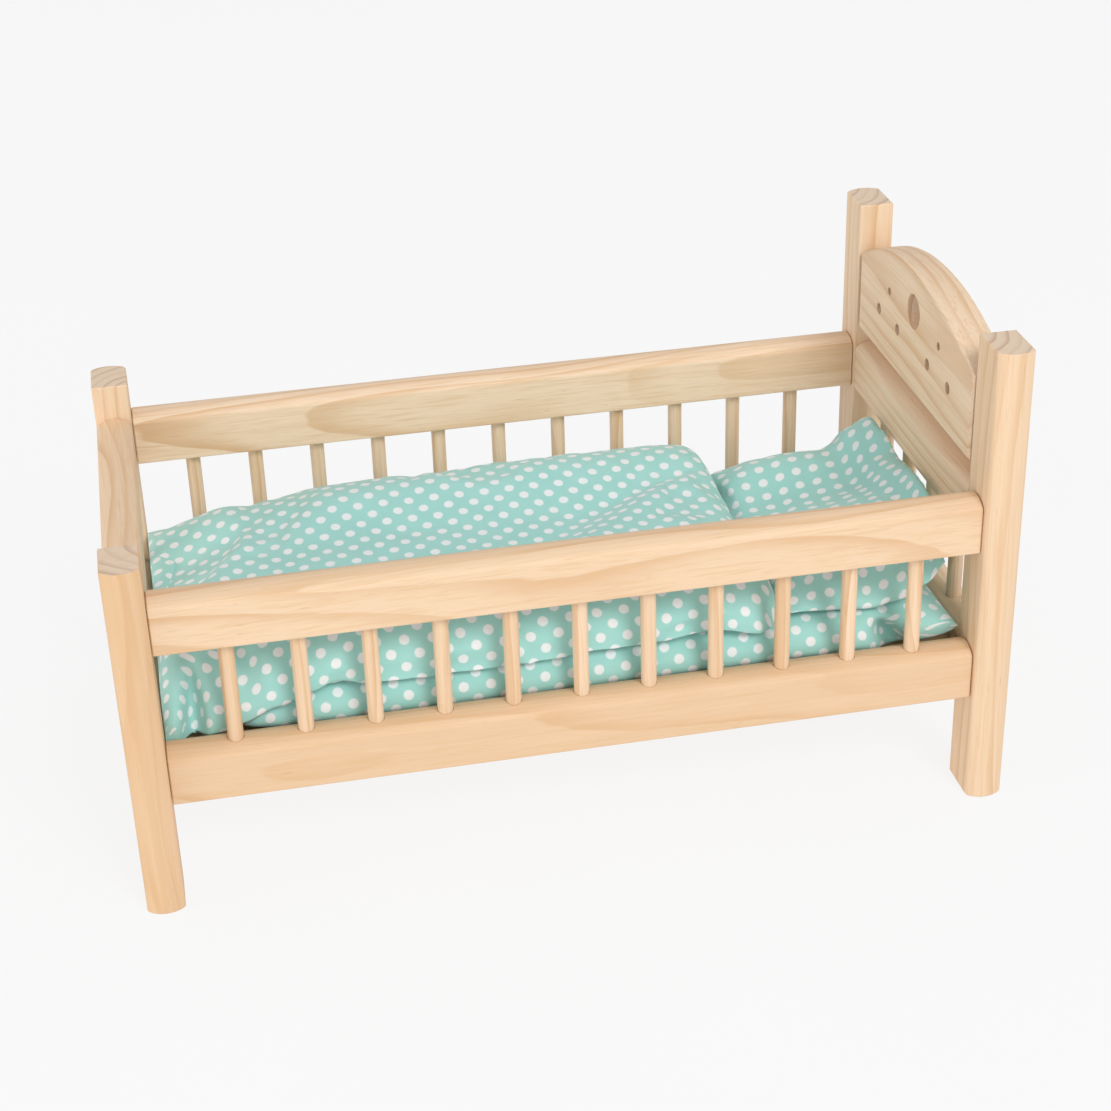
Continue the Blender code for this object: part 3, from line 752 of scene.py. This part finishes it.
def duvet_height(x, y):
    """Upper sheet between its rims: a valley along the middle and the filling at both sides."""
    # the valley drops towards the foot end, past a crease that runs slanting across
    past = -0.864 * (x + 0.187) + 0.504 * (y - 0.040)
    inside = 1 - smooth(0.045, 0.092, y)
    valley = VALLEY_HEIGHT - 0.001 * smooth(0.12, 0.19, -x)
    valley -= (0.0105 * smooth(-0.005, 0.010, past) + 0.0130 * smooth(0.002, 0.050, past)) * inside
    valley -= (0.010 * smooth(0.15, 0.25, -x) + 0.009 * smooth(0.19, 0.246, -x)) * (1 - inside)

    # the filling lies along both sides and heaps up at the front head corner
    fade = 1 - 0.85 * smooth(0.10, 0.25, -x)
    side = SIDE_FILLING * smooth(0.010, 0.075, abs(y)) * fade
    towards_corner = 0.652 * (x - 0.075) - 0.759 * (y - 0.026)
    corner = CORNER_FILLING * smooth(-0.018, 0.020, towards_corner) * fade
    waves = 0.0012 * noise.noise(Vector((x * 28, y * 40, 0.4)))
    return valley + max(side, corner) + waves + crinkle(x, y, 0.0018)


def front_folds(x, z):
    """Depth of the folds that run down the duvet's front."""
    deep = DEEP_FOLD * bump(x, -0.2270 - 0.04 * (0.120 - z), 0.0085) * bump(z, 0.115, 0.036)
    slight = SLIGHT_FOLD * bump(x, -0.1965, 0.012) * bump(z, 0.141, 0.028)
    wrinkle = WRINKLE * bump(z - 0.20 * (x - 0.070), 0.1295, 0.0045) * bump(x, 0.070, 0.022)
    return deep + slight + wrinkle


def duvet_surface(u, v, side):
    """Duvet with rounded head corners, whose front rim hangs down at the foot end."""
    middle = (DUVET_FOOT + DUVET_HEAD) / 2
    half_length = (DUVET_HEAD - DUVET_FOOT) / 2
    rounded = smooth(0.90, 1.0, u) * smooth(0.85, 1.0, abs(v))
    x = middle + u * half_length - 0.006 * rounded
    y = v * (DUVET_HALF_WIDTH - 0.0012 * (1 - abs(u) ** 6) - 0.006 * rounded)
    share = smooth(-0.3, -1.0, v)
    rim = DUVET_RIM + (through(FRONT_RIM, x) - DUVET_RIM) * share
    rim += 0.012 * smooth(0.8, 1.0, u) * (1 - abs(v) ** 3) + pucker(x + y, 0.0010)
    rim -= 0.007 * smooth(0.20, 0.246, -x) * smooth(0.0, 0.8, v)
    height = duvet_height(x, y)
    end = dome(u, 16.0 if u > 0 else 40.0, 2.0)
    full = dome(v, 5.0, 2.0) * end
    if side > 0:
        z = rim + (height - rim) * full
    else:
        low = rim + (DUVET_UNDERSIDE - rim) * dome(v, 8.0, 2.0) * end
        lift = dome(v, 30.0, 1.0) * dome(u, 40.0, 1.0)
        z = max(low, low + (mattress_top(x, y) + LYING_GAP - low) * lift)
    y += front_folds(x, z) * smooth(-0.075, -0.096, y)
    # the hanging hem stands out a little
    y -= 0.0028 * smooth(0.14, 0.19, -x) * smooth(-0.100, -0.110, y) * bump(z, 0.112, 0.008)
    return Vector((x, y, z))


def make_duvet(cotton, mattress):
    across = spread(lambda t: 0.30 * dome(t, 5.0, 2.0), 60)
    along = spread(lambda t: 0.12 * dome(t, 16.0 if t > 0 else 40.0, 2.0), 116)
    piece, upper_count = make_pad(
        "duvet_cover", duvet_surface, across, along, 0.0, DUVET_PRINT_SHIFT)
    puff(piece, upper_count, pressure=2.0, cap=0.0030, grow=0.03)
    settle(piece, upper_count, mattress)
    finish_pad(piece, "duvet", "duvet", cotton)


# ---------------------------------------------------------------- pillow

PILLOW_FRONT = -0.1070
PILLOW_BACK = 0.0800
PILLOW_FOOT = 0.1330
PILLOW_HEAD = 0.2435
PILLOW_HALF_THICKNESS = 0.0110
PILLOW_CREASE = 0.0035
PILLOW_PRINT_TURN = math.radians(48)
PILLOW_FRONT_RIM = ((0.128, 0.1285), (0.190, 0.1275), (0.211, 0.1325), (0.225, 0.1415), (0.237, 0.155))
PILLOW_BACK_RIM = (
    (0.133, 0.1350), (0.141, 0.1385), (0.163, 0.1415), (0.194, 0.1425), (0.206, 0.1410), (0.217, 0.1445),
    (0.228, 0.1535), (0.243, 0.1615))
PILLOW_HEAD_RIM = (
    (-0.107, 0.1550), (-0.063, 0.1770), (-0.031, 0.1770), (0.000, 0.1730), (0.027, 0.1765),
    (0.047, 0.1735), (0.080, 0.1610))
PILLOW_FOOT_RIM = ((-0.107, 0.1285), (-0.060, 0.1345), (0.015, 0.1310), (0.080, 0.1350))


def pillow_middle(a, c, x, y):
    """Height of the sheet halfway between the two covers, from the four rims."""
    rise = clamp((a - 0.30) / 0.70) ** 1.5
    front, back = through(PILLOW_FRONT_RIM, x), through(PILLOW_BACK_RIM, x)
    foot, head = through(PILLOW_FOOT_RIM, y), through(PILLOW_HEAD_RIM, y)
    foot_line = PILLOW_FOOT_RIM[0][1] * (1 - c) + PILLOW_FOOT_RIM[-1][1] * c
    head_line = PILLOW_HEAD_RIM[0][1] * (1 - c) + PILLOW_HEAD_RIM[-1][1] * c
    return front * (1 - c) + back * c + (1 - rise) * (foot - foot_line) + rise * (head - head_line)


def pillow_surface(u, v, side):
    """Thin, soft pillow that leans up against the head end."""
    a, c = (u + 1) / 2, (v + 1) / 2
    front_pull = 0.007 * (1 - c) ** 3 * a ** 4
    x = PILLOW_FOOT + (PILLOW_HEAD - PILLOW_FOOT) * a - front_pull
    y = PILLOW_FRONT + (PILLOW_BACK - PILLOW_FRONT) * c
    y += 0.004 * (1 - u * u) * (1 - c) ** 3 - 0.006 * smooth(0.5, 1.0, a) * c ** 2
    middle = pillow_middle(a, c, x, y) + pucker(x - y, 0.0012) * (1 - dome(u, 6.0) * dome(v, 6.0))
    full = dome(u, 5.0 if u > 0 else 3.0) * dome(v, 4.0)
    thick = PILLOW_HALF_THICKNESS * full * (0.6 + 0.4 * smooth(0.0, 0.45, a))
    humps = 0.006 * bump(y, -0.060, 0.045) + 0.003 * bump(y, 0.055, 0.030) - 0.007 * bump(y, 0.017, 0.040)
    crease = PILLOW_CREASE * bump(x + 0.10 * (y - 0.02), 0.2185, 0.012)
    if side > 0:
        z = middle + thick + (humps - crease + crinkle(x, y, 0.0040)) * full
    else:
        z = middle - thick
        z = max(z, min(middle, mattress_top(x, y) + LYING_GAP))
    return Vector((x, y, z))


def make_pillow(cotton, mattress):
    across = spread(lambda t: 0.15 * dome(t, 4.0), 52)
    along = spread(lambda t: 0.15 * dome(t, 5.0 if t > 0 else 3.0), 38)
    piece, upper_count = make_pad(
        "pillow_cover", pillow_surface, across, along, PILLOW_PRINT_TURN, 0.0)
    puff(piece, upper_count, pressure=2.0, cap=0.0020, grow=0.03)
    settle(piece, upper_count, mattress)
    finish_pad(piece, "pillow", "pillow", cotton)


# ---------------------------------------------------------------- stage, light and camera

FLOOR_HALF = 6.0
FLOOR_GLOW = 0.85
FLOOR_DIM = (0.088, 0.089, 0.090)
FLOOR_PALE = (0.100, 0.101, 0.102)
WORLD_STRENGTH = 0.60


def make_stage():
    form = bmesh.new()
    bmesh.ops.create_grid(form, x_segments=1, y_segments=1, size=FLOOR_HALF)
    mesh = bpy.data.meshes.new("floor")
    form.to_mesh(mesh)
    form.free()
    floor = bpy.data.objects.new("floor", mesh)
    bpy.context.scene.collection.objects.link(floor)
    material, graph, shader = new_material("pale_floor")
    shader.inputs["Roughness"].default_value = 0.9
    shader.inputs["Specular IOR Level"].default_value = 0.0
    speck = graph.noise(graph.node("ShaderNodeTexCoord").outputs["Object"], 3.0, 2.0)[0]
    graph.feed(shader.inputs["Base Color"], graph.mix(speck, FLOOR_DIM, FLOOR_PALE))
    shader.inputs["Emission Color"].default_value = (1.0, 1.0, 1.0, 1.0)
    shader.inputs["Emission Strength"].default_value = FLOOR_GLOW
    floor.data.materials.append(material)


def aim(item, target):
    direction = Vector(target) - item.location
    item.rotation_euler = direction.to_track_quat("-Z", "Y").to_euler()


def add_light(name, place, size, power, target=(0.0, 0.0, 0.12)):
    light = bpy.data.lights.new(name, "AREA")
    light.shape = "DISK"
    light.size = size
    light.energy = power
    item = bpy.data.objects.new(name, light)
    item.location = place
    bpy.context.scene.collection.objects.link(item)
    aim(item, target)


def make_lights():
    world = bpy.data.worlds.new("studio")
    world.use_nodes = True
    background = world.node_tree.nodes["Background"]
    background.inputs["Color"].default_value = (1.0, 1.0, 1.0, 1.0)
    background.inputs["Strength"].default_value = WORLD_STRENGTH
    bpy.context.scene.world = world
    add_light("key", (1.2, -3.5, 3.4), 1.9, 114.0)
    add_light("front", (-0.6, -4.6, 1.4), 2.4, 22.0)
    add_light("side", (-2.6, -0.6, 0.5), 1.5, 24.0, (0.25, 0.0, 0.26))
    bpy.context.scene.view_settings.view_transform = "Standard"


def make_camera():
    azimuth = math.radians(CAMERA_AZIMUTH)
    elevation = math.radians(CAMERA_ELEVATION)
    roll = math.radians(CAMERA_ROLL)
    ahead = Vector((
        math.sin(azimuth) * math.cos(elevation), math.cos(azimuth) * math.cos(elevation),
        -math.sin(elevation)))
    level = ahead.cross(Vector((0, 0, 1))).normalized()
    upright = level.cross(ahead)
    right = math.cos(roll) * level + math.sin(roll) * upright
    up = -math.sin(roll) * level + math.cos(roll) * upright
    data = bpy.data.cameras.new("camera")
    data.sensor_width = SENSOR_MM
    data.lens = FOCAL_PIXELS / IMAGE_SIZE * SENSOR_MM
    data.clip_start = 0.01
    camera = bpy.data.objects.new("camera", data)
    turn = Matrix((right, up, -ahead)).transposed().to_4x4()
    camera.matrix_world = Matrix.Translation(CAMERA_PLACE) @ turn
    bpy.context.scene.collection.objects.link(camera)
    bpy.context.scene.camera = camera


make_camera()
make_stage()
make_lights()
finish_wood()
finish_hardware()
finish_base_board()
cotton = make_cotton()
mattress = make_mattress(cotton)
make_duvet(cotton, mattress)
make_pillow(cotton, mattress)
